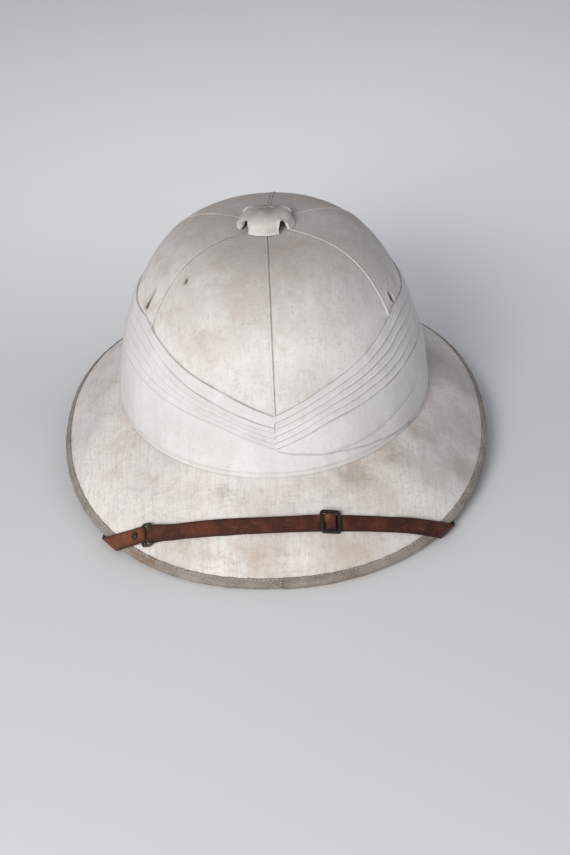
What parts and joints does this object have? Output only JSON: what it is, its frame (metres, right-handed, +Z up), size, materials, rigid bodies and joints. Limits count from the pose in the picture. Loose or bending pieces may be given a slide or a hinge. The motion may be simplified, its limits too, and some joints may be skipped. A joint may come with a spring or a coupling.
{
  "type": "pith helmet",
  "caption": "White cloth-covered pith helmet: paneled dome with a vent cap, pleated cloth wrap meeting in a V, sloping bound brim, and a leather chin strap with ring and slide buckle.",
  "frame": {"origin": "centre of the outline in plan, on the floor the brim rests on", "axes": "+Z up, -Y towards the side where the strap lies across the brim, +X towards the buckle's side"},
  "size_m": [0.2916, 0.358, 0.1666],
  "materials": {
    "cloth": "whitened cotton with a fine weave and grey-beige stains",
    "tape": "worn grey-brown tape",
    "leather": "worn red-brown leather",
    "cap_paint": "matt white paint with brown grime",
    "black_metal": "black enamel",
    "bronze": "tarnished dark"
  },
  "bodies": {
    "root": {"crown": "cloth", "brim": "cloth", "edge_binding": "tape", "pagri_pleats": "cloth", "pagri_band": "cloth", "vent_cap": "cap_paint", "chin_strap": "leather", "strap_tab": "leather", "strap_ring": "bronze", "strap_stud": "black_metal", "strap_buckle": "black_metal", "strap_rivet_left": "bronze", "strap_rivet_right": "bronze"}
  },
  "joints": []
}
